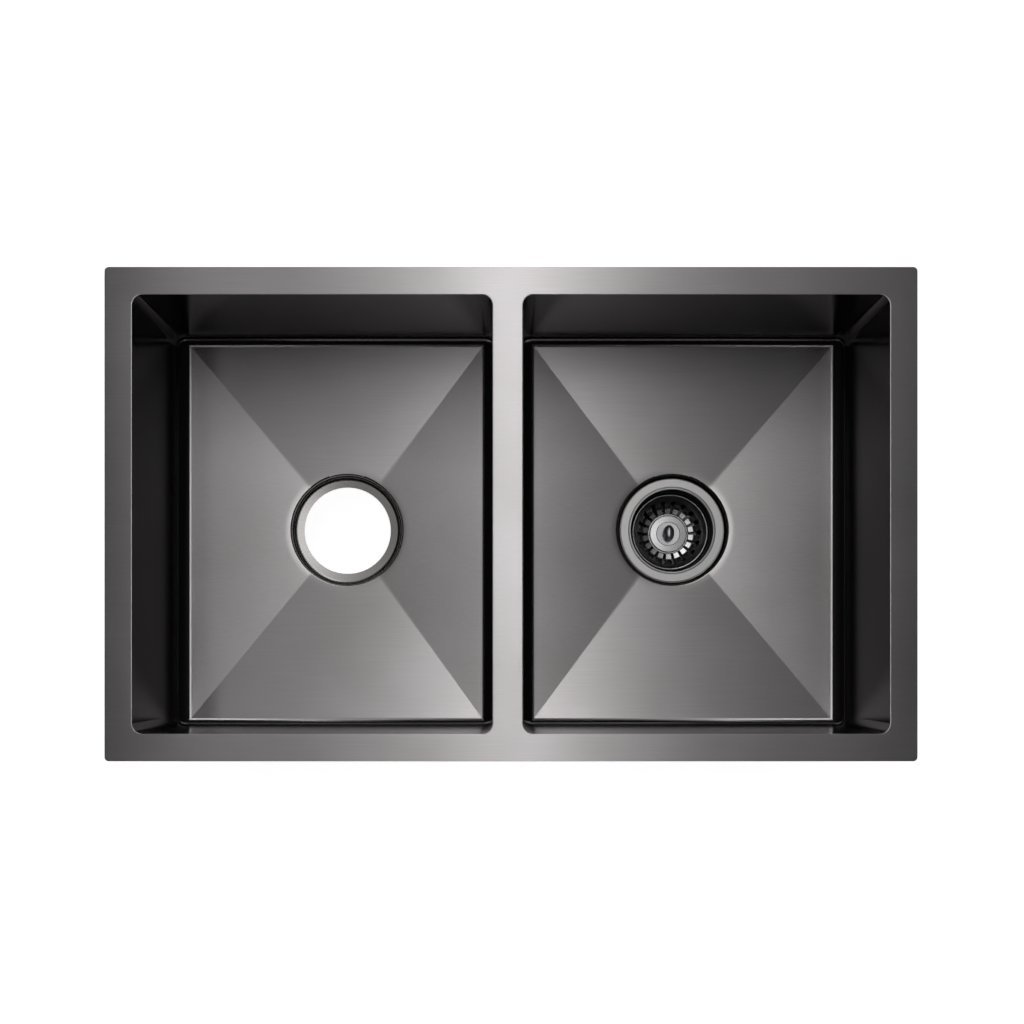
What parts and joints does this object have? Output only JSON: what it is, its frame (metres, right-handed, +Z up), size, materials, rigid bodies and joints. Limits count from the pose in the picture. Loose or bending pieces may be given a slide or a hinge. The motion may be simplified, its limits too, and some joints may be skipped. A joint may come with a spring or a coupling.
{
  "type": "double bowl kitchen sink",
  "caption": "Rectangular brushed steel kitchen sink with two deep bowls side by side, a flat hanging rim and a lift-out basket strainer in one drain.",
  "frame": {"origin": "on the top face of the rim, in the middle of the strip that divides the two bowls", "axes": "+X to the right along the length, +Y to the back, +Z up out of the bowls"},
  "size_m": [0.74, 0.45, 0.393],
  "materials": {
    "gunmetal_steel": "brushed, gunmetal-coloured vapour-deposited coating, satin",
    "sound_pad": "matt black bonded rubber sheet",
    "waste_steel": "fine circular brushing with a light gunmetal tone",
    "bright_steel": "polished",
    "black_rubber": "smooth moulded",
    "white_plastic": "moulded",
    "fibre": "pressed fibre sheet",
    "nut_metal": "cast and plated",
    "chrome_tube": "plated drawn tube"
  },
  "bodies": {
    "sink": {"rim_flange": "gunmetal_steel", "left_bowl": "gunmetal_steel", "right_bowl": "gunmetal_steel", "left_base_pad": "sound_pad", "right_base_pad": "sound_pad", "left_back_pad": "sound_pad", "left_front_pad": "sound_pad", "left_outer_pad": "sound_pad", "left_divider_pad": "sound_pad", "right_back_pad": "sound_pad", "right_front_pad": "sound_pad", "right_outer_pad": "sound_pad", "right_divider_pad": "sound_pad", "flange_seal": "black_rubber", "strainer_cup": "waste_steel", "outlet_grid": "waste_steel", "under_gasket": "black_rubber", "friction_ring": "fibre", "lock_nut": "nut_metal", "tail_washer": "white_plastic", "tailpiece": "chrome_tube", "slip_nut": "nut_metal"},
    "basket": {"basket": "waste_steel", "stem_bush": "white_plastic"},
    "plunger": {"knob": "bright_steel", "stem": "bright_steel", "backing_washer": "bright_steel", "stopper": "black_rubber", "stem_nut": "bright_steel"}
  },
  "joints": [
    {"name": "basket_lift", "type": "slide", "parent": "sink", "child": "basket", "axis": [0, 0, 1], "range_m": [0, 0.293]},
    {"name": "plunger_lift", "type": "slide", "parent": "basket", "child": "plunger", "axis": [0, 0, 1], "range_m": [0, 0.007]}
  ]
}
